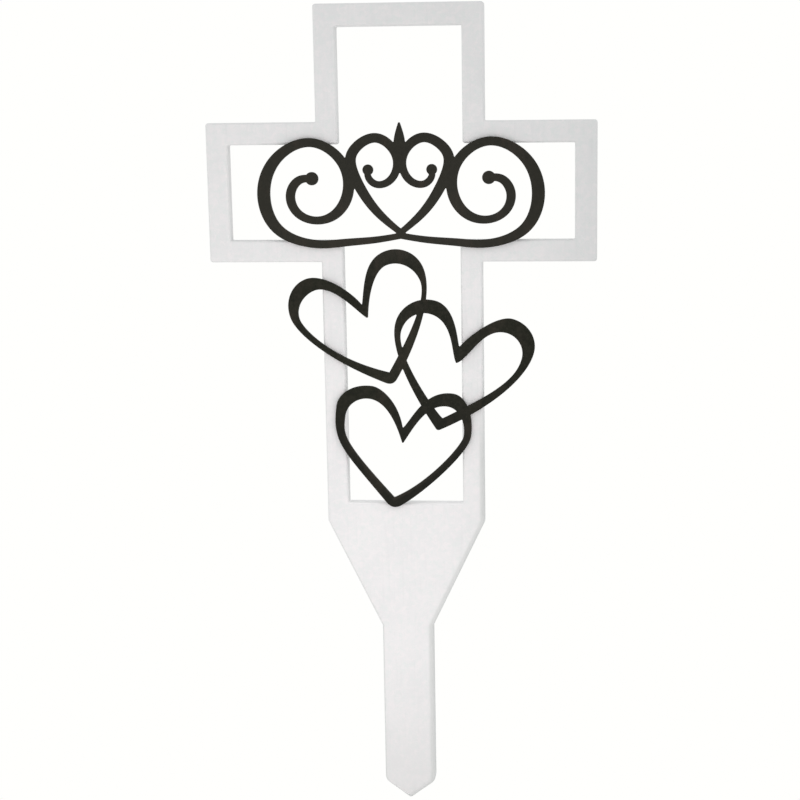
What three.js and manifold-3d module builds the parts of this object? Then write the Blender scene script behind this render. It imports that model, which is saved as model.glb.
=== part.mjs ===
// Garden grave cross: a white cross cut from one steel plate, with an open
// window that follows the cross outline, a blade that narrows below it and a
// pointed ground stake. Two black cut sheets are fixed to its front face: an
// ornament of mirrored scrolls across the arms, and three linked hearts below.
//
// Units are millimetres. +Z is up and the front faces -Y. The origin is on the
// middle plane of the plate, at ground level, where the blade meets the stake.

import * as THREE from "three";
import { mergeVertices } from "three/addons/utils/BufferGeometryUtils.js";
import Module from "manifold-3d";

// ---------------------------------------------------------------- dimensions
const PLATE_THICKNESS = 7; // white plate
const SHEET_THICKNESS = 2; // black ornament sheets

// White plate, heights above the ground line
const TOP_HEIGHT = 307.5;
const ARM_TOP = 252;
const ARM_BOTTOM = 184.5;
const SILL_HEIGHT = 64; // lower end of the window
const SHOULDER_HEIGHT = 54.5; // where the blade starts to narrow
const STAKE_CORNER_DEPTH = 83; // straight part of the stake, below ground
const STAKE_TIP_DEPTH = 92.5;

// White plate, half widths
const ARM_HALF = 95;
const HEAD_HALF = 41; // head, above the arms
const FOOT_HALF = 39.5; // below the arms
const STAKE_HALF = 12.9;

const BAND = 10.7; // width of the band round the window
const CUT_RADIUS = 0.6; // small radius that the cutter leaves in each corner
const STAKE_CORNER_RADIUS = 2.4;

// Linked hearts. Every heart is a band between an outer and an inner outline.
// Each outline runs from the cleft over the top of a lobe, round its side and
// down to the tip, by three Bezier spans a lobe. at is the heart's cleft in the
// plate's x and z, turn its lean in degrees, and the rest is measured from the
// cleft along the heart's own axes. A lobe is given by its top and its side, the
// directions in degrees in which it leaves the cleft and the tip, and how far
// each handle reaches (at the cleft, the top, the side and the tip), as a share
// of its span.
const LOBE_ROUNDNESS = 0.5523; // handle share that makes a quarter ellipse
const HEARTS = [
  {
    at: [-19.3, 164.7],
    turn: 22.9,
    tipSoftness: 3.4,
    outer: {
      cleft: [-0.9, -1],
      tip: [-2.9, -43.3],
      left: { top: [-21.9, 21.7], side: [-36.1, 6.3], cleftAngle: 76, tipAngle: 43, reach: [0.27, 0.44, 0.14, 0.54] },
      right: { top: [19.5, 18.8], side: [34.2, 4.3], cleftAngle: 60, tipAngle: 34, reach: [0.38, 0.51, 0.29, 0.21] },
    },
    inner: {
      cleft: [-0.8, -8],
      tip: [-2, -36.6],
      left: { top: [-19.9, 14.8], side: [-32.3, 4.1], cleftAngle: 46, tipAngle: 36, reach: [0.15, 0.54, 0.09, 0.59] },
      right: { top: [18, 12.2], side: [30.3, -1], cleftAngle: 66, tipAngle: 38, reach: [0.33, 0.4, 0.23, 0.25] },
    },
  },
  {
    at: [28.9, 143.7],
    turn: -15.1,
    tipSoftness: 1.2,
    outer: {
      cleft: [-0.8, -1],
      tip: [-0.8, -44.3],
      left: { top: [-17.9, 17.9], side: [-34.1, 2.3], cleftAngle: 51, tipAngle: 41, reach: [0.1, 0.64, 0.25, 0.32] },
      right: { top: [20.9, 19.1], side: [35.3, 5.7], cleftAngle: 63, tipAngle: 38, reach: [0.3, 0.34, 0.19, 0.5] },
    },
    inner: {
      cleft: [-0.2, -9.1],
      tip: [0.1, -37.6],
      left: { top: [-18.8, 11], side: [-30.4, -1.3], cleftAngle: 41, tipAngle: 19, reach: [0.17, 0.68, 0.25, 0.07] },
      right: { top: [19.8, 11.7], side: [30.2, 1.5], cleftAngle: 30, tipAngle: 41, reach: [0.22, 0.6, 0.22, 0.57] },
    },
  },
  {
    at: [0.1, 103.3],
    turn: -8.2,
    tipSoftness: 4.2,
    outer: {
      cleft: [-0.7, -1.1],
      tip: [-0.6, -42.7],
      left: { top: [-18.4, 17.6], side: [-34.8, 5.1], cleftAngle: 74, tipAngle: 43, reach: [0.51, 0.26, 0.32, 0.67] },
      right: { top: [21.9, 19.7], side: [33.5, -0.2], cleftAngle: 53, tipAngle: 23, reach: [0.23, 0.63, 0.18, 0.17] },
    },
    inner: {
      cleft: [0.3, -9],
      tip: [-0.4, -36.5],
      left: { top: [-18.9, 11.2], side: [-29.9, 0.3], cleftAngle: 66, tipAngle: 40, reach: [0.28, 0.51, 0.19, 0.82] },
      right: { top: [20, 13], side: [29.9, -0.2], cleftAngle: 64, tipAngle: 31, reach: [0.35, 0.53, 0.11, 0.38] },
    },
  },
];
const HEART_STEPS = 9; // points in each Bezier span

// Scroll ornament: the left half, mirrored for the right. A stroke starts at
// its lead points and winds into a volute. radii are given at every eighth of
// a turn, widths at the start, at every quarter turn and at the end.
const SCROLLS = [
  {
    lead: [[0.4, 197.4], [-13, 195.3], [-28, 194]],
    centre: [-43, 217.6],
    startAngle: -90,
    radii: [24, 24.2, 23.8, 24.2, 24.6, 21.2, 17.4, 14.6, 12.6, 11.6, 10.6, 9.2, 7.4],
    widths: [3, 4, 6.3, 4.3, 5.4, 3.8, 4.5, 3.6],
    ball: 3.2,
  },
  {
    lead: [[0.4, 198.6], [-6.5, 204.2], [-15.4, 214]],
    centre: [-11.6, 229],
    startAngle: -180,
    radii: [11.6, 14.2, 15.2, 12.6, 9.9, 8.2, 6.9, 5.2, 3.9],
    widths: [3, 5.2, 4.6, 3.8, 3.4, 3],
    ball: 2.6,
  },
];
const SCROLL_STEPS = 6; // points between two knots of a stroke
const LEAF = { foot: 232, tip: 252.5, halfWidth: 3.5 }; // leaf between the scrolls

const WHITE = { color: 0xe9e9ea, roughness: 0.55, metalness: 0 };
const BLACK = { color: 0x2b2a26, roughness: 0.5, metalness: 0.1 };

// ------------------------------------------------------------------- helpers
const wasm = await Module();
wasm.setup();

const v2 = (p) => new THREE.Vector2(p[0], p[1]);
const mirrored = (points) => points.map((p) => new THREE.Vector2(-p.x, p.y)).reverse();

// A flat piece cut to an outline, standing in the XZ plane with its back face
// at y = back and its front face one thickness nearer to -Y.
function plate(outline, holes, thickness, back) {
  const turned = (points) =>
    THREE.ShapeUtils.isClockWise(points) ? [...points].reverse() : points;
  const shape = new THREE.Shape(turned(outline));
  for (const hole of holes) shape.holes.push(new THREE.Path(turned(hole)));
  const geometry = new THREE.ExtrudeGeometry(shape, {
    depth: thickness,
    bevelEnabled: false,
    steps: 1,
  });
  geometry.rotateX(Math.PI / 2);
  geometry.translate(0, back, 0);
  return geometry;
}

function toSolid(geometry) {
  const bare = geometry.clone();
  bare.deleteAttribute("normal");
  bare.deleteAttribute("uv");
  const merged = mergeVertices(bare, 1e-4);
  return new wasm.Manifold(
    new wasm.Mesh({
      numProp: 3,
      vertProperties: new Float32Array(merged.attributes.position.array),
      triVerts: new Uint32Array(merged.index.array),
    }),
  );
}

function toGeometry(solid) {
  const made = solid.getMesh();
  const position = new Float32Array(made.numVert * 3);
  for (let i = 0; i < made.numVert; i++)
    for (let k = 0; k < 3; k++)
      position[i * 3 + k] = made.vertProperties[i * made.numProp + k];
  const geometry = new THREE.BufferGeometry();
  geometry.setAttribute("position", new THREE.BufferAttribute(position, 3));
  geometry.setIndex(new THREE.BufferAttribute(new Uint32Array(made.triVerts), 1));
  const flat = geometry.toNonIndexed();
  flat.computeVertexNormals();
  return flat;
}

// The corners of an outline, each replaced by a short curve that starts and
// ends at the given reach from it.
function softened(corners, reachOf, steps = 3) {
  const out = [];
  corners.forEach((corner, i) => {
    const before = corners[(i + corners.length - 1) % corners.length];
    const after = corners[(i + 1) % corners.length];
    const reach = reachOf(i);
    if (!reach) return out.push(corner.clone());
    const start = corner.clone().add(before.clone().sub(corner).setLength(reach));
    const end = corner.clone().add(after.clone().sub(corner).setLength(reach));
    out.push(...new THREE.QuadraticBezierCurve(start, corner, end).getPoints(steps));
  });
  return out;
}

// ---------------------------------------------------------------- white plate
function crossPlate() {
  const rightSide = [
    [HEAD_HALF, TOP_HEIGHT],
    [HEAD_HALF, ARM_TOP],
    [ARM_HALF, ARM_TOP],
    [ARM_HALF, ARM_BOTTOM],
    [FOOT_HALF, ARM_BOTTOM],
    [FOOT_HALF, SHOULDER_HEIGHT],
    [STAKE_HALF, 0],
    [STAKE_HALF, -STAKE_CORNER_DEPTH],
  ].map(v2);
  const tip = new THREE.Vector2(0, -STAKE_TIP_DEPTH);
  const corners = [...rightSide, tip, ...mirrored(rightSide)];
  const stakeCorners = [rightSide.length - 1, rightSide.length + 1];
  const outline = softened(corners, (i) =>
    stakeCorners.includes(i) ? STAKE_CORNER_RADIUS : CUT_RADIUS,
  );
  const windowSide = [
    [HEAD_HALF - BAND, TOP_HEIGHT - BAND],
    [HEAD_HALF - BAND, ARM_TOP - BAND],
    [ARM_HALF - BAND, ARM_TOP - BAND],
    [ARM_HALF - BAND, ARM_BOTTOM + BAND],
    [FOOT_HALF - BAND, ARM_BOTTOM + BAND],
    [FOOT_HALF - BAND, SILL_HEIGHT],
  ].map(v2);
  const opening = softened([...windowSide, ...mirrored(windowSide)], () => CUT_RADIUS);
  return plate(outline, [opening], PLATE_THICKNESS, PLATE_THICKNESS / 2);
}

// -------------------------------------------------------------- linked hearts
function heartOutline(heart, which) {
  const size = heart[which];
  const cleft = v2(size.cleft);
  const tip = v2(size.tip);
  const lobe = (side, sign) => {
    const { cleftAngle, tipAngle, reach } = size[side];
    const top = v2(size[side].top);
    const flank = v2(size[side].side);
    const towards = (degrees, length) => {
      const a = THREE.MathUtils.degToRad(degrees);
      return new THREE.Vector2(sign * Math.cos(a), Math.sin(a)).multiplyScalar(length);
    };
    const rise = cleft.distanceTo(top);
    const fall = flank.distanceTo(tip);
    const spans = [
      new THREE.CubicBezierCurve(
        cleft,
        cleft.clone().add(towards(cleftAngle, reach[0] * rise)),
        new THREE.Vector2(top.x - reach[1] * (top.x - cleft.x), top.y),
        top,
      ),
      new THREE.CubicBezierCurve(
        top,
        new THREE.Vector2(top.x + LOBE_ROUNDNESS * (flank.x - top.x), top.y),
        new THREE.Vector2(flank.x, flank.y + LOBE_ROUNDNESS * (top.y - flank.y)),
        flank,
      ),
      new THREE.CubicBezierCurve(
        flank,
        new THREE.Vector2(flank.x, flank.y - reach[2] * fall),
        tip.clone().add(towards(tipAngle, reach[3] * fall)),
        tip,
      ),
    ];
    return spans.flatMap((span, i) =>
      span.getPoints(i === 2 ? 2 * HEART_STEPS : HEART_STEPS).slice(i ? 1 : 0),
    );
  };
  const right = lobe("right", 1);
  const left = lobe("left", -1);
  let points = right;
  if (which === "outer" && heart.tipSoftness) {
    const clear = (p) => p.distanceTo(tip) > heart.tipSoftness;
    const rightPart = right.filter(clear);
    const leftPart = left.slice(1).filter(clear).reverse();
    const round = new THREE.QuadraticBezierCurve(rightPart[rightPart.length - 1], tip, leftPart[0]).getPoints(6);
    points = [...rightPart, ...round.slice(1, -1), ...leftPart];
  } else points = [...right, ...left.slice(1, -1).reverse()];
  const lean = THREE.MathUtils.degToRad(heart.turn);
  const origin = new THREE.Vector2(0, 0);
  return points.map((p) => p.clone().rotateAround(origin, lean).add(v2(heart.at)));
}

function heartsPanel() {
  const back = -PLATE_THICKNESS / 2;
  return HEARTS.map((heart) =>
    toSolid(plate(heartOutline(heart, "outer"), [heartOutline(heart, "inner")], SHEET_THICKNESS, back)),
  ).reduce((all, ring) => all.add(ring));
}

// ------------------------------------------------------------ scroll ornament
// The middle line of a stroke and its width at each point.
function scrollLine(scroll) {
  const knots = scroll.lead.map(v2);
  const centre = v2(scroll.centre);
  scroll.radii.forEach((radius, i) => {
    const a = THREE.MathUtils.degToRad(scroll.startAngle - 45 * i);
    knots.push(new THREE.Vector2(Math.cos(a), Math.sin(a)).multiplyScalar(radius).add(centre));
  });
  const line = new THREE.SplineCurve(knots).getPoints(SCROLL_STEPS * (knots.length - 1));
  const wound = (scroll.radii.length - 1) / 2; // quarter turns
  const first = scroll.lead.length / (knots.length - 1); // share before the volute
  const widths = line.map((_, i) => {
    const t = i / (line.length - 1);
    const at = t < first ? t / first : 1 + ((t - first) / (1 - first)) * wound;
    const k = Math.min(Math.floor(at), scroll.widths.length - 2);
    const f = THREE.MathUtils.smoothstep(at - k, 0, 1);
    return THREE.MathUtils.lerp(scroll.widths[k], scroll.widths[k + 1], f);
  });
  return { line, widths };
}

function ribbon({ line, widths }) {
  const left = [];
  const right = [];
  line.forEach((p, i) => {
    const ahead = line[Math.min(i + 1, line.length - 1)];
    const behind = line[Math.max(i - 1, 0)];
    const d = ahead.clone().sub(behind).normalize();
    const n = new THREE.Vector2(-d.y, d.x).multiplyScalar(widths[i] / 2);
    left.push(p.clone().add(n));
    right.push(p.clone().sub(n));
  });
  return [...left, ...right.reverse()];
}

function disc(centre, radius, segments = 28) {
  return Array.from({ length: segments }, (_, i) => {
    const a = (2 * Math.PI * i) / segments;
    return new THREE.Vector2(Math.cos(a), Math.sin(a)).multiplyScalar(radius).add(centre);
  });
}

function leafOutline() {
  const foot = new THREE.Vector2(0, LEAF.foot);
  const tip = new THREE.Vector2(0, LEAF.tip);
  const bulge = LEAF.foot + 0.36 * (LEAF.tip - LEAF.foot);
  const side = new THREE.CubicBezierCurve(
    foot,
    new THREE.Vector2(LEAF.halfWidth * 1.3, bulge),
    new THREE.Vector2(LEAF.halfWidth * 0.8, bulge + 5),
    tip,
  ).getPoints(10);
  return [...side, ...mirrored(side).slice(1, -1)];
}

function scrollPanel() {
  const back = -PLATE_THICKNESS / 2;
  const cut = (outline) => toSolid(plate(outline, [], SHEET_THICKNESS, back));
  const pieces = [];
  for (const scroll of SCROLLS) {
    const stroke = scrollLine(scroll);
    const end = stroke.line[stroke.line.length - 1];
    for (const outline of [ribbon(stroke), disc(end, scroll.ball)]) {
      pieces.push(cut(outline), cut(mirrored(outline)));
    }
  }
  pieces.push(cut(leafOutline()));
  return pieces.reduce((all, piece) => all.add(piece));
}

// ---------------------------------------------------------------------- model
const cross = new THREE.Group();
cross.name = "grave_cross";

function addPart(name, geometry, finish) {
  const mesh = new THREE.Mesh(geometry, new THREE.MeshStandardMaterial(finish));
  mesh.name = name;
  cross.add(mesh);
}

addPart("cross_stake", crossPlate(), WHITE);
addPart("scroll_panel", toGeometry(scrollPanel()), BLACK);
addPart("hearts_panel", toGeometry(heartsPanel()), BLACK);

export default cross;
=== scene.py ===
import math

import bpy
import numpy as np
from mathutils import Matrix, Vector
from mathutils.geometry import delaunay_2d_cdt


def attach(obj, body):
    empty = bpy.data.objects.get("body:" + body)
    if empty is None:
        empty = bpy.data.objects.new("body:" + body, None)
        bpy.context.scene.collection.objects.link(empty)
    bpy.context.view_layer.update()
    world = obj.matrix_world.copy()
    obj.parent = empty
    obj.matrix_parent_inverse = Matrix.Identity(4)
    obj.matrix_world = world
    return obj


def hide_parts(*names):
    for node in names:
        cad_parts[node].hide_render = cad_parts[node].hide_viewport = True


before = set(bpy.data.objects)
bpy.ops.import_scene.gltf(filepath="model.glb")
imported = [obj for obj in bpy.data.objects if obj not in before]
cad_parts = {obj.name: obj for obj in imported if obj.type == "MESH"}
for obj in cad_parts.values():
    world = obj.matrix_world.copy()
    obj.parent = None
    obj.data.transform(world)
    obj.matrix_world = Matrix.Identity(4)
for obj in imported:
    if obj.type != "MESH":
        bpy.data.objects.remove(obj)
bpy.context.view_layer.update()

# Garden grave cross. The three flat pieces of the frame are rebuilt here as fine
# meshes with smooth outlines and painted, rounded edges. Sizes are millimetres
# until a mesh is made: x to the right, z up, the front faces -y.

MM = 0.001

# ------------------------------------------------------------------ dimensions
PLATE_FRONT, PLATE_BACK = -3.5, 3.5
SHEET_FRONT, SHEET_BACK = -5.5, -3.5

TOP_HEIGHT = 307.5
ARM_TOP = 252.0
ARM_BOTTOM = 184.5
SILL_HEIGHT = 64.0
SHOULDER_HEIGHT = 54.5
STAKE_CORNER_DEPTH = 83.0
STAKE_TIP_DEPTH = 92.5
ARM_HALF = 95.0
HEAD_HALF = 41.0
FOOT_HALF = 39.5
STAKE_HALF = 12.9
BAND = 10.7
STAKE_CORNER_RADIUS = 2.4

LOBE_ROUNDNESS = 0.5523
HEARTS = [
    dict(
        at=(-19.3, 164.7), turn=22.9, tipSoftness=3.4,
        outer=dict(
            cleft=(-0.9, -1), tip=(-2.9, -43.3),
            left=dict(top=(-21.9, 21.7), side=(-36.1, 6.3), cleftAngle=76, tipAngle=43, reach=(0.27, 0.44, 0.14, 0.54)),
            right=dict(top=(19.5, 18.8), side=(34.2, 4.3), cleftAngle=60, tipAngle=34, reach=(0.38, 0.51, 0.29, 0.21)),
        ),
        inner=dict(
            cleft=(-0.8, -8), tip=(-2, -36.6),
            left=dict(top=(-19.9, 14.8), side=(-32.3, 4.1), cleftAngle=46, tipAngle=36, reach=(0.15, 0.54, 0.09, 0.59)),
            right=dict(top=(18, 12.2), side=(30.3, -1), cleftAngle=66, tipAngle=38, reach=(0.33, 0.4, 0.23, 0.25)),
        ),
    ),
    dict(
        at=(28.9, 143.7), turn=-15.1, tipSoftness=1.2,
        outer=dict(
            cleft=(-0.8, -1), tip=(-0.8, -44.3),
            left=dict(top=(-17.9, 17.9), side=(-34.1, 2.3), cleftAngle=51, tipAngle=41, reach=(0.1, 0.64, 0.25, 0.32)),
            right=dict(top=(20.9, 19.1), side=(35.3, 5.7), cleftAngle=63, tipAngle=38, reach=(0.3, 0.34, 0.19, 0.5)),
        ),
        inner=dict(
            cleft=(-0.2, -9.1), tip=(0.1, -37.6),
            left=dict(top=(-18.8, 11), side=(-30.4, -1.3), cleftAngle=41, tipAngle=19, reach=(0.17, 0.68, 0.25, 0.07)),
            right=dict(top=(19.8, 11.7), side=(30.2, 1.5), cleftAngle=30, tipAngle=41, reach=(0.22, 0.6, 0.22, 0.57)),
        ),
    ),
    dict(
        at=(0.1, 103.3), turn=-8.2, tipSoftness=4.2,
        outer=dict(
            cleft=(-0.7, -1.1), tip=(-0.6, -42.7),
            left=dict(top=(-18.4, 17.6), side=(-34.8, 5.1), cleftAngle=74, tipAngle=43, reach=(0.51, 0.26, 0.32, 0.67)),
            right=dict(top=(21.9, 19.7), side=(33.5, -0.2), cleftAngle=53, tipAngle=23, reach=(0.23, 0.63, 0.18, 0.17)),
        ),
        inner=dict(
            cleft=(0.3, -9), tip=(-0.4, -36.5),
            left=dict(top=(-18.9, 11.2), side=(-29.9, 0.3), cleftAngle=66, tipAngle=40, reach=(0.28, 0.51, 0.19, 0.82)),
            right=dict(top=(20, 13), side=(29.9, -0.2), cleftAngle=64, tipAngle=31, reach=(0.35, 0.53, 0.11, 0.38)),
        ),
    ),
]

SCROLLS = [
    dict(
        lead=[(0.4, 197.4), (-13, 195.3), (-28, 194)],
        centre=(-43, 217.6),
        startAngle=-90,
        radii=[24, 24.2, 23.8, 24.2, 24.6, 21.2, 17.4, 14.6, 12.6, 11.6, 10.6, 9.2, 7.4],
        widths=[3, 4, 6.3, 4.3, 5.4, 3.8, 4.5, 3.6],
        ball=3.2,
    ),
    dict(
        lead=[(0.4, 198.6), (-6.5, 204.2), (-15.4, 214)],
        centre=(-11.6, 229),
        startAngle=-180,
        radii=[11.6, 14.2, 15.2, 12.6, 9.9, 8.2, 6.9, 5.2, 3.9],
        widths=[3, 5.2, 4.6, 3.8, 3.4, 3],
        ball=2.6,
    ),
]
LEAF = dict(foot=232.0, tip=252.5, halfWidth=3.5)

# -------------------------------------------------------------------- outlines
def quadratic(a, b, c, steps):
    t = np.linspace(0, 1, steps + 1)[:, None]
    a, b, c = map(np.asarray, (a, b, c))
    return (1 - t) ** 2 * a + 2 * t * (1 - t) * b + t**2 * c


def cubic(a, b, c, d, steps):
    t = np.linspace(0, 1, steps + 1)[:, None]
    a, b, c, d = map(np.asarray, (a, b, c, d))
    return (1 - t) ** 3 * a + 3 * t * (1 - t) ** 2 * b + 3 * t**2 * (1 - t) * c + t**3 * d


def spline(knots, steps):
    """The natural cubic spline through the knots, whose curvature never jumps."""
    k = np.array(knots, float)
    n = len(k)
    a = np.diag(np.full(n, 4.0)) + np.diag(np.ones(n - 1), 1) + np.diag(np.ones(n - 1), -1)
    a[0, 0] = a[-1, -1] = 2
    slope = np.linalg.solve(a, 3 * np.vstack([k[1:2] - k[:1], k[2:] - k[:-2], k[-1:] - k[-2:-1]]))
    t = (np.arange(steps) / steps)[:, None]
    out = []
    for i in range(n - 1):
        p1, p2, v0, v1 = k[i], k[i + 1], slope[i], slope[i + 1]
        out.append((2 * p1 - 2 * p2 + v0 + v1) * t**3 + (-3 * p1 + 3 * p2 - 2 * v0 - v1) * t**2 + v0 * t + p1)
    out.append(k[-1:])
    return np.vstack(out)


def mirrored(points):
    return (np.asarray(points) * (-1, 1))[::-1]


def signed_area(p):
    q = np.roll(p, -1, 0)
    return 0.5 * float(np.sum(p[:, 0] * q[:, 1] - q[:, 0] * p[:, 1]))


def plate_outlines():
    side = [
        (HEAD_HALF, TOP_HEIGHT), (HEAD_HALF, ARM_TOP), (ARM_HALF, ARM_TOP), (ARM_HALF, ARM_BOTTOM),
        (FOOT_HALF, ARM_BOTTOM), (FOOT_HALF, SHOULDER_HEIGHT), (STAKE_HALF, 0.0),
    ]
    # the stake's lower corners are rounded more than a cutter leaves them
    corner = np.array((STAKE_HALF, -STAKE_CORNER_DEPTH))
    tip = np.array((0.0, -STAKE_TIP_DEPTH))
    down = tip - corner
    down /= np.linalg.norm(down)
    rounded = quadratic(corner + (0, STAKE_CORNER_RADIUS), corner, corner + down * STAKE_CORNER_RADIUS, 10)
    half = np.vstack([side, rounded])
    outline = np.vstack([half, tip[None], mirrored(half)])
    window = np.array([
        (HEAD_HALF - BAND, TOP_HEIGHT - BAND), (HEAD_HALF - BAND, ARM_TOP - BAND),
        (ARM_HALF - BAND, ARM_TOP - BAND), (ARM_HALF - BAND, ARM_BOTTOM + BAND),
        (FOOT_HALF - BAND, ARM_BOTTOM + BAND), (FOOT_HALF - BAND, SILL_HEIGHT),
    ])
    return [(outline, [np.vstack([window, mirrored(window)])])]


def heart_outline(heart, which, steps=60):
    size = heart[which]
    cleft, tip = np.array(size["cleft"], float), np.array(size["tip"], float)

    def lobe(side, sign):
        given = size[side]
        reach = given["reach"]
        top, flank = np.array(given["top"], float), np.array(given["side"], float)

        def towards(degrees, length):
            a = math.radians(degrees)
            return np.array((sign * math.cos(a), math.sin(a))) * length

        rise, fall = np.linalg.norm(cleft - top), np.linalg.norm(flank - tip)
        spans = [
            cubic(cleft, cleft + towards(given["cleftAngle"], reach[0] * rise),
                  (top[0] - reach[1] * (top[0] - cleft[0]), top[1]), top, steps),
            cubic(top, (top[0] + LOBE_ROUNDNESS * (flank[0] - top[0]), top[1]),
                  (flank[0], flank[1] + LOBE_ROUNDNESS * (top[1] - flank[1])), flank, steps),
            cubic(flank, (flank[0], flank[1] - reach[2] * fall),
                  tip + towards(given["tipAngle"], reach[3] * fall), tip, 2 * steps),
        ]
        return np.vstack([spans[0], spans[1][1:], spans[2][1:]])

    right, left = lobe("right", 1), lobe("left", -1)
    if which == "outer" and heart["tipSoftness"]:
        soft = heart["tipSoftness"]
        right_part = right[np.linalg.norm(right - tip, axis=1) > soft]
        left_part = left[1:][np.linalg.norm(left[1:] - tip, axis=1) > soft][::-1]
        round_tip = quadratic(right_part[-1], tip, left_part[0], 24)
        points = np.vstack([right_part, round_tip[1:-1], left_part])
    else:
        points = np.vstack([right, left[1:-1][::-1]])
    lean = math.radians(heart["turn"])
    c, s = math.cos(lean), math.sin(lean)
    return points @ np.array([[c, s], [-s, c]]) + heart["at"]


def heart_outlines():
    return [(heart_outline(h, "outer"), [heart_outline(h, "inner")]) for h in HEARTS]


def smoothstep(f):
    return f * f * (3 - 2 * f)


def scroll_ribbon(scroll, steps=40):
    centre = np.array(scroll["centre"], float)
    knots = [np.array(p, float) for p in scroll["lead"]]
    for i, radius in enumerate(scroll["radii"]):
        a = math.radians(scroll["startAngle"] - 45 * i)
        knots.append(centre + radius * np.array((math.cos(a), math.sin(a))))
    line = spline(knots, steps)
    t = np.linspace(0, 1, len(line))
    wound = (len(scroll["radii"]) - 1) / 2
    first = len(scroll["lead"]) / (len(knots) - 1)
    at = np.where(t < first, t / first, 1 + (t - first) / (1 - first) * wound)
    w = np.array(scroll["widths"], float)
    k = np.minimum(np.floor(at).astype(int), len(w) - 2)
    f = smoothstep(np.clip(at - k, 0, 1))
    width = w[k] + (w[k + 1] - w[k]) * f
    d = np.gradient(line, axis=0)
    d /= np.linalg.norm(d, axis=1)[:, None]
    n = np.stack([-d[:, 1], d[:, 0]], 1) * width[:, None] / 2
    return np.vstack([line + n, (line - n)[::-1]]), line[-1]


def disc(centre, radius, segments=96):
    a = np.linspace(0, 2 * math.pi, segments, endpoint=False)
    return np.stack([np.cos(a), np.sin(a)], 1) * radius + centre


def leaf_outline():
    foot, tip = (0.0, LEAF["foot"]), (0.0, LEAF["tip"])
    bulge = LEAF["foot"] + 0.36 * (LEAF["tip"] - LEAF["foot"])
    side = cubic(foot, (LEAF["halfWidth"] * 1.3, bulge), (LEAF["halfWidth"] * 0.8, bulge + 5), tip, 60)
    return np.vstack([side, mirrored(side)[1:-1]])


def scroll_outlines():
    out = []
    for scroll in SCROLLS:
        ribbon, end = scroll_ribbon(scroll)
        for p in (ribbon, disc(end, scroll["ball"])):
            out += [(p, []), (mirrored(p), [])]
    return out + [(leaf_outline(), [])]


# --------------------------------------------------------- outlines to a piece
def triangulate(points, edges, faces, mode):
    v, e, f, ov, oe, of = delaunay_2d_cdt([Vector(map(float, p)) for p in points], edges, faces, mode, 1e-5, True)
    return np.array([(p.x, p.y) for p in v]), f, ov, of


def joined(regions):
    """The boundary loops of the joined regions, with the material on the left."""
    points, faces = [], []
    for outer, holes in regions:
        for p in [outer] + holes:
            p = p if signed_area(p) > 0 else p[::-1]
            start = len(points)
            points += list(p)
            faces.append(list(range(start, start + len(p))))
    # each face: the region that it belongs to, and whether it is that region's hole
    owner, is_hole = [], []
    for i, (outer, holes) in enumerate(regions):
        owner += [i] * (1 + len(holes))
        is_hole += [False] + [True] * len(holes)
    v, f, _, of = triangulate(points, [], faces, 1)
    count = {}
    for tri, inside in zip(f, of):
        solid = {owner[i] for i in inside if not is_hole[i]} - {owner[i] for i in inside if is_hole[i]}
        if not solid:
            continue
        a, b, c = (v[i] for i in tri)
        if (b[0] - a[0]) * (c[1] - a[1]) - (b[1] - a[1]) * (c[0] - a[0]) < 0:
            tri = tri[::-1]
        for k in range(3):
            count[(tri[k], tri[(k + 1) % 3])] = True
    follow = {}
    for a, b in count:
        if (b, a) not in count:
            follow.setdefault(a, []).append(b)
    loops = []
    while follow:
        start = next(iter(follow))
        loop, at = [], start
        while at in follow:
            loop.append(at)
            nexts = follow[at]
            nxt = nexts.pop()
            if not nexts:
                del follow[at]
            at = nxt
            if at == start:
                break
        if len(loop) > 8 and abs(signed_area(v[loop])) > 0.05:
            loops.append(v[loop])
    return loops


def tidy(loop, spacing, convex_radius, concave_radius, corner_turn=22.0):
    """The loop with its corners rounded and its runs sampled evenly."""
    keep = [0]
    for i in range(1, len(loop)):
        if np.linalg.norm(loop[i] - loop[keep[-1]]) > 0.03:
            keep.append(i)
    if np.linalg.norm(loop[keep[-1]] - loop[0]) < 0.03:
        keep.pop()
    p = loop[keep]
    n = len(p)
    # the direction change over a short reach on either side, which a short edge can't hide
    ahead, behind = np.roll(p, -1, 0) - p, p - np.roll(p, 1, 0)
    turn = np.degrees(np.arctan2(behind[:, 0] * ahead[:, 1] - behind[:, 1] * ahead[:, 0], np.sum(ahead * behind, 1)))
    corners = [i for i in range(n) if abs(turn[i]) > corner_turn]
    if not corners:
        return resample(np.vstack([p, p[:1]]), spacing)[:-1]
    runs = []
    for a, b in zip(corners, corners[1:] + [corners[0] + n]):
        runs.append(p[[k % n for k in range(a, b + 1)]])
    reach = []
    for k, c in enumerate(corners):
        alpha = math.radians(180 - abs(turn[c]))
        r = convex_radius if turn[c] > 0 else concave_radius
        want = r / math.tan(alpha / 2)
        reach.append(min(want, 0.42 * length(runs[k]), 0.42 * length(runs[k - 1])))
    out = []
    trimmed = [trim(run, reach[k], reach[(k + 1) % len(corners)]) for k, run in enumerate(runs)]
    for k, run in enumerate(trimmed):
        if k == 0:
            before = trimmed[-1]
        else:
            before = trimmed[k - 1]
        c = corners[k]
        theta = math.radians(abs(turn[c]))
        share = (4 / 3) * math.tan(theta / 4) / math.tan(theta / 2)
        a, b, q = before[-1], run[0], p[c]
        steps = max(3, int(abs(turn[c]) / 11))
        arc = cubic(a, a + (q - a) * share, b + (q - b) * share, b, steps)
        out.append(arc[:-1])
        out.append(resample(run, spacing)[:-1])
    return np.vstack(out)


def length(run):
    return float(np.sum(np.linalg.norm(np.diff(run, axis=0), axis=1)))


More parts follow.
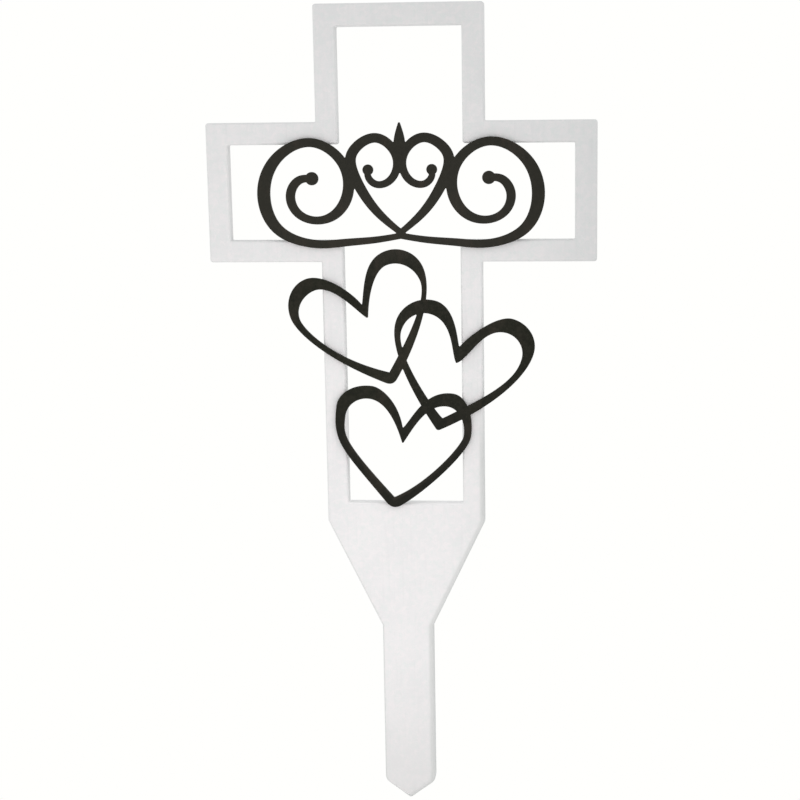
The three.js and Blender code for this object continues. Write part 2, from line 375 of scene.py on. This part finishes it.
def trim(run, start, end):
    s = np.concatenate([[0], np.cumsum(np.linalg.norm(np.diff(run, axis=0), axis=1))])
    lo, hi = start, s[-1] - end
    at = lambda q: np.array([np.interp(q, s, run[:, 0]), np.interp(q, s, run[:, 1])])
    inner = run[(s > lo + 1e-6) & (s < hi - 1e-6)]
    return np.vstack([at(lo)[None], inner, at(hi)[None]])


def resample(run, spacing):
    s = np.concatenate([[0], np.cumsum(np.linalg.norm(np.diff(run, axis=0), axis=1))])
    n = max(1, int(math.ceil(s[-1] / spacing)))
    q = np.linspace(0, s[-1], n + 1)
    return np.stack([np.interp(q, s, run[:, 0]), np.interp(q, s, run[:, 1])], 1)


def outward_normals(loop):
    a = loop - np.roll(loop, 1, 0)
    b = np.roll(loop, -1, 0) - loop
    a /= np.linalg.norm(a, axis=1)[:, None]
    b /= np.linalg.norm(b, axis=1)[:, None]
    na, nb = np.stack([a[:, 1], -a[:, 0]], 1), np.stack([b[:, 1], -b[:, 0]], 1)
    n = na + nb
    n /= np.linalg.norm(n, axis=1)[:, None]
    stretch = 1 / np.clip(np.sum(n * na, 1), 0.5, 1)
    return n, stretch


def distance_to(points, loops):
    """Each point's distance to the nearest edge of the loops."""
    a = np.vstack(loops)
    b = np.vstack([np.roll(l, -1, 0) for l in loops])
    d = b - a
    dd = np.maximum(np.sum(d * d, 1), 1e-12)
    out = np.empty(len(points))
    for i in range(0, len(points), 400):
        q = points[i : i + 400]
        w = q[:, None] - a[None]
        t = np.clip(np.sum(w * d[None], 2) / dd[None], 0, 1)
        out[i : i + 400] = np.sqrt(np.min(np.sum((w - t[..., None] * d[None]) ** 2, 2), 1))
    return out


def inside_of(points, loops):
    a = np.vstack(loops)
    b = np.vstack([np.roll(l, -1, 0) for l in loops])
    out = np.empty(len(points), bool)
    for i in range(0, len(points), 400):
        q = points[i : i + 400]
        y = q[:, 1:2]
        crosses = (a[None, :, 1] > y) != (b[None, :, 1] > y)
        with np.errstate(divide="ignore", invalid="ignore"):
            x = a[None, :, 0] + (y - a[None, :, 1]) * (b[None, :, 0] - a[None, :, 0]) / (b[None, :, 1] - a[None, :, 1])
        out[i : i + 400] = np.sum(crosses & (q[:, 0:1] < x), 1) % 2 == 1
    return out


def near_edge(points, loops, towards, full, reach):
    """How near each point is to an edge that faces that way: 1 within full, 0 past reach."""
    a = np.vstack(loops)
    b = np.vstack([np.roll(l, -1, 0) for l in loops])
    d = b - a
    dd = np.maximum(np.sum(d * d, 1), 1e-12)
    turned = np.clip((d[:, 1] * towards[0] - d[:, 0] * towards[1]) / np.sqrt(dd), 0, 1)
    out = np.empty(len(points))
    for i in range(0, len(points), 400):
        q = points[i : i + 400]
        w = q[:, None] - a[None]
        t = np.clip(np.sum(w * d[None], 2) / dd[None], 0, 1)
        away = np.sqrt(np.sum((w - t[..., None] * d[None]) ** 2, 2))
        out[i : i + 400] = np.max(turned[None] * smoothstep(np.clip((reach - away) / (reach - full), 0, 1)), 1)
    return out


def flat_piece(name, loops, front, back, edge, rings=4, grid=2.0, flats=(), marked=None):
    """A flat cut piece with rounded edges, as one closed mesh with its own normals."""
    points, level, normal, constraints = [], [], [], []
    rim = []  # vertex indices of each boundary loop
    for ring in range(rings + 1 + len(flats)):
        theta = 0.5 * math.pi * min(ring, rings) / rings
        inset = edge * (1 - math.cos(theta))
        if ring > rings:
            inset += flats[ring - rings - 1]
        for loop in loops:
            n, stretch = outward_normals(loop)
            q = loop - n * stretch[:, None] * inset
            ok = np.ones(len(q), bool)
            if ring:
                ok = distance_to(q, loops) > inset - 0.012
            start = len(points)
            points += list(q[ok])
            level += [min(ring, rings)] * int(ok.sum())
            normal += list(n[ok])
            m = int(ok.sum())
            ids = list(range(start, start + m))
            if ring <= rings:
                constraints += [(ids[k], ids[(k + 1) % m]) for k in range(m)]
            if ring == 0:
                rim.append(ids)
    lo, hi = np.min(np.vstack(loops), 0), np.max(np.vstack(loops), 0)
    xs = np.arange(lo[0], hi[0], grid)
    zs = np.arange(lo[1], hi[1], grid * 0.866)
    cells = np.array([(x + (0.5 * grid if j % 2 else 0), z) for j, z in enumerate(zs) for x in xs])
    cells = cells[inside_of(cells, loops)]
    cells = cells[distance_to(cells, loops) > edge + max(flats, default=0) + 0.45 * grid]
    points += list(cells)
    level += [rings] * len(cells)
    normal += [np.zeros(2)] * len(cells)

    v, f, ov, _ = triangulate(points, constraints, [], 0)
    level, normal = np.array(level), np.array(normal)
    source = np.array([o[0] if o else -1 for o in ov])
    for i in np.where(source < 0)[0]:  # a crossing of two rings takes its nearest neighbour's place
        source[i] = int(np.argmin(np.sum((np.array(points) - v[i]) ** 2, 1)))
    lv, nv = level[source], normal[source]
    tris = np.array([t for t in f if len(t) == 3])
    centre = v[tris].mean(1)
    all_rim = np.all(lv[tris] == 0, 1)
    keep = np.ones(len(tris), bool)
    keep[all_rim] = inside_of(centre[all_rim], loops)
    # triangles outside the piece never touch an inner ring; a sliver between three rim
    # points in one line belongs to it only if a kept triangle lies past its long side
    ab, ac = v[tris[:, 1]] - v[tris[:, 0]], v[tris[:, 2]] - v[tris[:, 0]]
    sliver = all_rim & (np.abs(ab[:, 0] * ac[:, 1] - ab[:, 1] * ac[:, 0]) < 1e-4)
    keep[sliver] = False
    if sliver.any():
        sides = {tuple(sorted((int(t[k]), int(t[(k + 1) % 3])))) for t in tris[keep] for k in range(3)}
        for i in np.where(sliver)[0]:
            t = [int(k) for k in tris[i]]
            long_side = max(((t[k], t[(k + 1) % 3]) for k in range(3)), key=lambda s: np.linalg.norm(v[s[0]] - v[s[1]]))
            keep[i] = tuple(sorted(long_side)) in sides
    tris = tris[keep]
    a, b, c = v[tris[:, 0]], v[tris[:, 1]], v[tris[:, 2]]
    turned = (b[:, 0] - a[:, 0]) * (c[:, 1] - a[:, 1]) - (b[:, 1] - a[:, 1]) * (c[:, 0] - a[:, 0]) < 0
    tris[turned] = tris[turned][:, ::-1]

    theta = 0.5 * math.pi * lv / rings
    depth = edge * (1 - np.sin(theta))
    n = len(v)
    place = np.vstack([
        np.stack([v[:, 0], front + depth, v[:, 1]], 1),
        np.stack([v[:, 0], back - depth, v[:, 1]], 1),
    ])
    out = np.stack([nv[:, 0] * np.cos(theta), np.zeros(n), nv[:, 1] * np.cos(theta)], 1)
    up = np.sin(theta)
    normals = np.vstack([out + np.stack([0 * up, -up, 0 * up], 1), out + np.stack([0 * up, up, 0 * up], 1)])
    normals /= np.maximum(np.linalg.norm(normals, axis=1)[:, None], 1e-9)

    # x to the right and z up seen from the front: counter-clockwise faces the front
    faces = [tuple(map(int, t)) for t in tris]
    faces += [tuple(int(i) + n for i in t[::-1]) for t in tris]
    first = {}
    for i, o in enumerate(ov):
        for k in o:
            first.setdefault(k, i)
    for ids in rim:
        for k in range(len(ids)):
            a, b = first[ids[k]], first[ids[(k + 1) % len(ids)]]
            if a != b:
                faces.append((b, a, a + n, b + n))

    mesh = bpy.data.meshes.new(name)
    mesh.from_pydata([tuple(p * MM) for p in place], [], faces)
    mesh.validate()
    mesh.update()
    for polygon in mesh.polygons:
        polygon.use_smooth = True
    edge_value = mesh.attributes.new("rim", "FLOAT", "POINT")
    edge_value.data.foreach_set("value", np.tile(np.cos(theta), 2).astype(np.float32))
    if marked:
        label, chosen, towards, full, reach = marked
        shade = mesh.attributes.new(label, "FLOAT", "POINT")
        shade.data.foreach_set("value", np.tile(near_edge(v, chosen(loops), towards, full, reach), 2).astype(np.float32))
    used = len(mesh.vertices)
    mesh.normals_split_custom_set_from_vertices([tuple(x) for x in normals[:used]])
    obj = bpy.data.objects.new(name, mesh)
    bpy.context.scene.collection.objects.link(obj)
    return obj


def prepared(regions, spacing, convex_radius, concave_radius):
    return [tidy(loop, spacing, convex_radius, concave_radius) for loop in joined(regions)]


plate = flat_piece(
    "cross_stake_painted",
    prepared(plate_outlines(), 1.2, 1.4, 0.6),
    PLATE_FRONT, PLATE_BACK, edge=1.3, rings=8, grid=2.4, flats=(0.5, 1.1, 1.8),
    # the right_edge attribute marks where the painted shade along the outer right-hand edge goes
    marked=("right_edge", lambda loops: [max(loops, key=signed_area)], (1, 0), 1.4, 2.9),
)
scrolls = flat_piece(
    "scroll_panel_painted",
    prepared(scroll_outlines(), 0.42, 0.5, 0.3),
    SHEET_FRONT, SHEET_BACK, edge=0.4, rings=4, grid=1.2,
)
hearts = flat_piece(
    "hearts_panel_painted",
    prepared(heart_outlines(), 0.42, 0.5, 0.3),
    SHEET_FRONT, SHEET_BACK, edge=0.4, rings=4, grid=1.0, flats=(0.45, 0.95, 1.5),
    # the upper_edge attribute marks where the painted highlight along the strokes' upper edges goes
    marked=("upper_edge", lambda loops: loops, (0, 1), 0.6, 1.9),
)
for piece, node, slot in (
    (plate, "cross_stake", "white_coat"),
    (scrolls, "scroll_panel", "black_coat"),
    (hearts, "hearts_panel", "black_coat"),
):
    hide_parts(node)
    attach(piece, "root")


# ------------------------------------------------------------------- materials
class Nodes:
    """Small helper that adds and links shader nodes."""

    def __init__(self, tree):
        self.tree = tree

    def add(self, kind, **settings):
        node = self.tree.nodes.new(kind)
        inputs = settings.pop("inputs", {})
        for key, value in settings.items():
            setattr(node, key, value)
        for key, value in inputs.items():
            socket = node.inputs[key]
            if hasattr(value, "is_output"):
                self.tree.links.new(value, socket)
            else:
                socket.default_value = value
        return node

    def noise(self, vector, scale, detail=2.0, rough=0.5, distortion=0.0):
        return self.add(
            "ShaderNodeTexNoise",
            inputs={"Vector": vector, "Scale": scale, "Detail": detail, "Roughness": rough, "Distortion": distortion},
        ).outputs["Fac"]

    def remap(self, value, from_min, from_max, to_min, to_max, smooth=False):
        node = self.add(
            "ShaderNodeMapRange",
            interpolation_type="SMOOTHSTEP" if smooth else "LINEAR",
            inputs={"Value": value, "From Min": from_min, "From Max": from_max, "To Min": to_min, "To Max": to_max},
        )
        return node.outputs["Result"]

    def math(self, operation, a, b=None, clamp=False):
        node = self.add("ShaderNodeMath", operation=operation, use_clamp=clamp)
        for socket, value in zip(node.inputs, (a, b)):
            if value is None:
                continue
            if hasattr(value, "is_output"):
                self.tree.links.new(value, socket)
            else:
                socket.default_value = value
        return node.outputs[0]

    def mix(self, factor, a, b, blend="MIX"):
        node = self.add("ShaderNodeMix", data_type="RGBA", blend_type=blend)
        for key, value in (("Factor", factor), ("A", a), ("B", b)):
            socket = next(s for s in node.inputs if s.name == key and (s.type == "RGBA" or key == "Factor") and s.enabled)
            if hasattr(value, "is_output"):
                self.tree.links.new(value, socket)
            else:
                socket.default_value = value
        return next(s for s in node.outputs if s.type == "RGBA" and s.enabled)


def material(name):
    mat = bpy.data.materials.new(name)
    mat.use_nodes = True
    tree = mat.node_tree
    tree.nodes.clear()
    n = Nodes(tree)
    out = n.add("ShaderNodeOutputMaterial")
    shader = n.add("ShaderNodeBsdfPrincipled")
    tree.links.new(shader.outputs["BSDF"], out.inputs["Surface"])
    return mat, n, shader


def white_coat():
    mat, n, shader = material("white_powder_coat")
    link = n.tree.links.new
    place = n.add("ShaderNodeTexCoord").outputs["Object"]
    rim = n.add("ShaderNodeAttribute", attribute_name="rim").outputs["Fac"]
    # broad clouds in the coat, cool and warm mottling of a millimetre or two, fine
    # specks, and faint streaks that run up the posts and along the rails
    clouds = n.noise(place, 34.0, 3.0, 0.55)
    cool = n.noise(place, 420.0, 3.0, 0.6, 0.4)
    warm_place = n.add("ShaderNodeMapping", inputs={"Vector": place, "Location": (0.37, 0.11, 0.53)}).outputs["Vector"]
    warm = n.noise(warm_place, 300.0, 3.0, 0.6, 0.5)
    speck = n.noise(place, 1500.0, 2.0, 0.6)
    upward = n.add("ShaderNodeMapping", inputs={"Vector": place, "Scale": (700.0, 500.0, 42.0)}).outputs["Vector"]
    across = n.add("ShaderNodeMapping", inputs={"Vector": place, "Scale": (42.0, 500.0, 700.0)}).outputs["Vector"]
    up_streaks, across_streaks = n.noise(upward, 1.0, 3.0, 0.55), n.noise(across, 1.0, 3.0, 0.55)
    tone = n.mix(n.remap(clouds, 0.32, 0.68, 0.0, 1.0, True), (0.802, 0.801, 0.806, 1), (0.838, 0.832, 0.835, 1))
    tone = n.mix(n.remap(warm, 0.44, 0.66, 0.0, 0.62, True), tone, (0.884, 0.850, 0.856, 1))
    tone = n.mix(n.remap(cool, 0.46, 0.68, 0.0, 0.58, True), tone, (0.772, 0.806, 0.796, 1))
    tone = n.mix(n.remap(up_streaks, 0.50, 0.76, 0.0, 0.34, True), tone, (0.752, 0.750, 0.756, 1))
    tone = n.mix(n.remap(across_streaks, 0.56, 0.76, 0.0, 0.16, True), tone, (0.895, 0.884, 0.886, 1))
    tone = n.mix(n.remap(speck, 0.55, 0.75, 0.0, 0.35), tone, (0.898, 0.888, 0.890, 1))
    # painted shade: the coat is a little darker towards the point of the stake
    along = n.add("ShaderNodeSeparateXYZ", inputs={0: place}).outputs[2]
    tone = n.mix(n.remap(along, -0.010, -0.085, 0.0, 0.34, True), tone, (0.700, 0.690, 0.686, 1))
    # painted shade on the rounded edges, uneven, and stronger from the sill down towards the stake
    rim_painted_shade = n.math("MULTIPLY", rim, n.remap(cool, 0.3, 0.7, 0.7, 1.0))
    rim_shade_strength = n.remap(along, 0.062, 0.040, 0.32, 0.85, True)
    tone = n.mix(n.math("MULTIPLY", n.remap(rim_painted_shade, 0.10, 0.85, 0.0, 1.0, True), rim_shade_strength), tone, (0.655, 0.676, 0.664, 1))
    # painted shade: from the foot of the window down, a wider strip along the outer right-hand edge is darker
    painted_shade_right = n.add("ShaderNodeAttribute", attribute_name="right_edge").outputs["Fac"]
    painted_shade_right = n.math("MULTIPLY", painted_shade_right, n.remap(along, 0.120, 0.085, 0.0, 0.95, True))
    tone = n.mix(n.math("MULTIPLY", painted_shade_right, n.remap(cool, 0.3, 0.7, 0.88, 1.0)), tone, (0.655, 0.669, 0.660, 1))
    # and painted light: surfaces that face up low on the cross, the sill above all, are lighter, as if lit from above
    upright = n.add("ShaderNodeSeparateXYZ", inputs={0: n.add("ShaderNodeTexCoord").outputs["Normal"]}).outputs[2]
    sill_painted_light = n.math("MULTIPLY", n.remap(upright, 0.10, 0.80, 0.0, 0.95, True), n.remap(along, 0.130, 0.095, 0.0, 1.0))
    tone = n.mix(sill_painted_light, tone, (0.945, 0.940, 0.942, 1))
    link(tone, shader.inputs["Base Color"])
    link(n.remap(n.noise(place, 90.0, 3.0, 0.6), 0.3, 0.7, 0.44, 0.60), shader.inputs["Roughness"])
    shader.inputs["Specular IOR Level"].default_value = 0.42
    # orange peel, with a slow waviness under it
    height = n.math("ADD", n.math("MULTIPLY", n.noise(place, 900.0, 2.0, 0.5), 0.8), n.math("MULTIPLY", cool, 0.7))
    height = n.math("ADD", height, n.math("MULTIPLY", n.noise(place, 140.0, 1.0, 0.5), 0.9))
    height = n.math("ADD", height, n.math("MULTIPLY", up_streaks, 0.35))
    bump = n.add("ShaderNodeBump", inputs={"Strength": 0.5, "Distance": 0.00007, "Height": height})
    link(bump.outputs["Normal"], shader.inputs["Normal"])
    return mat


def black_coat():
    mat, n, shader = material("black_powder_coat")
    link = n.tree.links.new
    place = n.add("ShaderNodeTexCoord").outputs["Object"]
    rim = n.add("ShaderNodeAttribute", attribute_name="rim").outputs["Fac"]
    clouds = n.noise(place, 60.0, 3.0, 0.55)
    grain = n.noise(place, 620.0, 4.0, 0.62)
    drawn = n.add("ShaderNodeMapping", inputs={"Vector": place, "Scale": (120.0, 120.0, 34.0)}).outputs["Vector"]
    rubbed = n.noise(drawn, 1.0, 4.0, 0.6, 0.4)
    height_up = n.add("ShaderNodeSeparateXYZ", inputs={0: place}).outputs[2]
    tone = n.mix(n.remap(clouds, 0.34, 0.66, 0.0, 1.0, True), (0.0052, 0.0062, 0.0014, 1), (0.0096, 0.0106, 0.0042, 1))
    tone = n.mix(n.remap(grain, 0.42, 0.68, 0.0, 0.62, True), tone, (0.0225, 0.0205, 0.0140, 1))
    tone = n.mix(n.remap(grain, 0.46, 0.30, 0.0, 0.70, True), tone, (0.0016, 0.0018, 0.0004, 1))
    # the lowest heart is a little darker, and the sheet across the arms a little paler
    tone = n.mix(n.remap(height_up, 0.130, 0.095, 0.0, 0.50, True), tone, (0.0016, 0.0022, 0.0004, 1))
    tone = n.mix(n.remap(height_up, 0.178, 0.196, 0.0, 0.52, True), tone, (0.0310, 0.0285, 0.0225, 1))
    # brownish rubbing that gathers towards the edges, and a painted brownish highlight
    # along the upper edges of the strokes of the lowest heart
    worn = n.math("MULTIPLY", n.remap(rubbed, 0.47, 0.75, 0.0, 1.0, True), n.remap(rim, 0.0, 0.6, 0.45, 0.85))
    worn = n.math("MULTIPLY", worn, n.remap(height_up, 0.165, 0.205, 0.60, 1.0, True))
    tone = n.mix(worn, tone, (0.046, 0.034, 0.025, 1))
    # painted highlight along the upper edges of the lowest heart's strokes
    upper_edge_highlight = n.add("ShaderNodeAttribute", attribute_name="upper_edge").outputs["Fac"]
    upper_edge_highlight = n.math("MULTIPLY", upper_edge_highlight, n.remap(height_up, 0.112, 0.090, 0.0, 0.60, True))
    upper_edge_highlight = n.math("MULTIPLY", upper_edge_highlight, n.remap(grain, 0.35, 0.60, 0.45, 1.0))
    tone = n.mix(upper_edge_highlight, tone, (0.0300, 0.0255, 0.0180, 1))
    link(tone, shader.inputs["Base Color"])
    link(n.remap(grain, 0.3, 0.75, 0.46, 0.62), shader.inputs["Roughness"])
    shader.inputs["Specular IOR Level"].default_value = 0.18
    height = n.math("ADD", n.math("MULTIPLY", grain, 0.8), n.math("MULTIPLY", n.noise(place, 210.0, 2.0, 0.5), 0.9))
    bump = n.add("ShaderNodeBump", inputs={"Strength": 0.5, "Distance": 0.00007, "Height": height})
    link(bump.outputs["Normal"], shader.inputs["Normal"])
    return mat


white, black = white_coat(), black_coat()
plate.data.materials.append(white)
scrolls.data.materials.append(black)
hearts.data.materials.append(black)

# ------------------------------------------------------- floor, light, camera
scene = bpy.context.scene
scene.view_settings.view_transform = "Standard"
scene.view_settings.look = "None"
scene.view_settings.exposure = 0.0
scene.view_settings.gamma = 1.0

floor_mesh = bpy.data.meshes.new("studio_floor")
R, Z = 14.0, -STAKE_TIP_DEPTH * MM - 0.0004
floor_mesh.from_pydata([(-R, -R, Z), (R, -R, Z), (R, R, Z), (-R, R, Z)], [], [(0, 1, 2, 3)])
floor = bpy.data.objects.new("studio_floor", floor_mesh)
scene.collection.objects.link(floor)
floor_mat, n, shader = material("pale_floor")
shader.inputs["Base Color"].default_value = (0.92, 0.918, 0.908, 1)
shader.inputs["Roughness"].default_value = 0.9
shader.inputs["Specular IOR Level"].default_value = 0.0
# it is seen as the same plain white as the backdrop, and bounces light as pale paint does
bright = n.add("ShaderNodeEmission", inputs={"Color": (1.0, 1.0, 0.985, 1), "Strength": 1.0})
looked_at = n.add("ShaderNodeLightPath").outputs["Is Camera Ray"]
either = n.add("ShaderNodeMixShader", inputs={0: looked_at, 1: shader.outputs["BSDF"], 2: bright.outputs[0]})
n.tree.links.new(either.outputs[0], next(k for k in n.tree.nodes if k.bl_idname == "ShaderNodeOutputMaterial").inputs["Surface"])
floor_mesh.materials.append(floor_mat)

# Soft studio light from all round: broad light from both sides and from overhead,
# a little less from the right, and a weaker one from the front. What lies past the
# floor is plain white.
world = bpy.data.worlds.new("studio")
scene.world = world
world.use_nodes = True
tree = world.node_tree
tree.nodes.clear()
w = Nodes(tree)
direction = w.add("ShaderNodeTexCoord").outputs["Generated"]
parts = w.add("ShaderNodeSeparateXYZ", inputs={0: direction}).outputs
lean = w.remap(parts[0], -1.0, 1.0, 0.07, -0.07)
rise = w.math("MULTIPLY", w.math("POWER", w.math("MAXIMUM", parts[2], 0.0), 2.0), 0.62)
sides = w.math("MULTIPLY", w.math("MULTIPLY", parts[0], parts[0]), 0.9)
facing = w.math("MULTIPLY", w.math("POWER", w.math("MAXIMUM", w.math("MULTIPLY", parts[1], -1.0), 0.0), 2.0), 0.2)
behind = w.remap(parts[1], 0.75, 0.97, 0.0, 0.5, True)
level = w.math("ADD", w.math("ADD", w.math("ADD", lean, rise), 0.303), w.math("ADD", w.math("ADD", sides, facing), behind))
lighting = w.add("ShaderNodeBackground", inputs={"Color": (0.992, 1.0, 1.0, 1), "Strength": level})
backdrop = w.add("ShaderNodeBackground", inputs={"Color": (1.0, 1.0, 0.985, 1), "Strength": 1.0})
seen = w.add("ShaderNodeLightPath").outputs["Is Camera Ray"]
both = w.add("ShaderNodeMixShader", inputs={0: seen, 1: lighting.outputs[0], 2: backdrop.outputs[0]})
out = w.add("ShaderNodeOutputWorld")
tree.links.new(both.outputs[0], out.inputs["Surface"])


def area_light(name, at, target, size, power, colour=(1, 1, 1)):
    data = bpy.data.lights.new(name, "AREA")
    data.shape = "SQUARE"
    data.size = size
    data.energy = power
    data.color = colour
    obj = bpy.data.objects.new(name, data)
    obj.location = at
    obj.rotation_euler = (Vector(target) - Vector(at)).to_track_quat("-Z", "Y").to_euler()
    scene.collection.objects.link(obj)
    return obj


key = area_light("soft_key", (-0.049, -0.193, 0.065), (-0.284, 0.0, 0.067), 0.344, 0.171, (1.0, 0.93, 0.94))
key.visible_camera = False
key.data.use_shadow = False

# The camera stands a little to the right of the cross and above its middle,
# and looks down at it by nine and a half degrees.
YAW, PITCH, ROLL = math.radians(4.483), math.radians(-9.466), math.radians(-0.503)
turn = Matrix.Rotation(YAW, 3, "Z") @ Matrix.Rotation(PITCH, 3, "X")
right, up, ahead = (turn @ Vector(a) for a in ((1, 0, 0), (0, 0, 1), (0, 1, 0)))
right_r = math.cos(ROLL) * right + math.sin(ROLL) * up
up_r = -math.sin(ROLL) * right + math.cos(ROLL) * up
look = Matrix((right_r, up_r, -ahead)).transposed()
camera_data = bpy.data.cameras.new("camera")
camera_data.sensor_width = 36.0
camera_data.sensor_fit = "HORIZONTAL"
camera_data.lens = 67.5
camera_data.shift_x = -0.1
camera_data.shift_y = 0.0
camera_data.clip_start = 0.01
camera_data.clip_end = 100.0
camera = bpy.data.objects.new("camera", camera_data)
camera.matrix_world = Matrix.Translation(Vector((0.094735, -0.730525, 0.238055))) @ look.to_4x4()
scene.collection.objects.link(camera)
scene.camera = camera
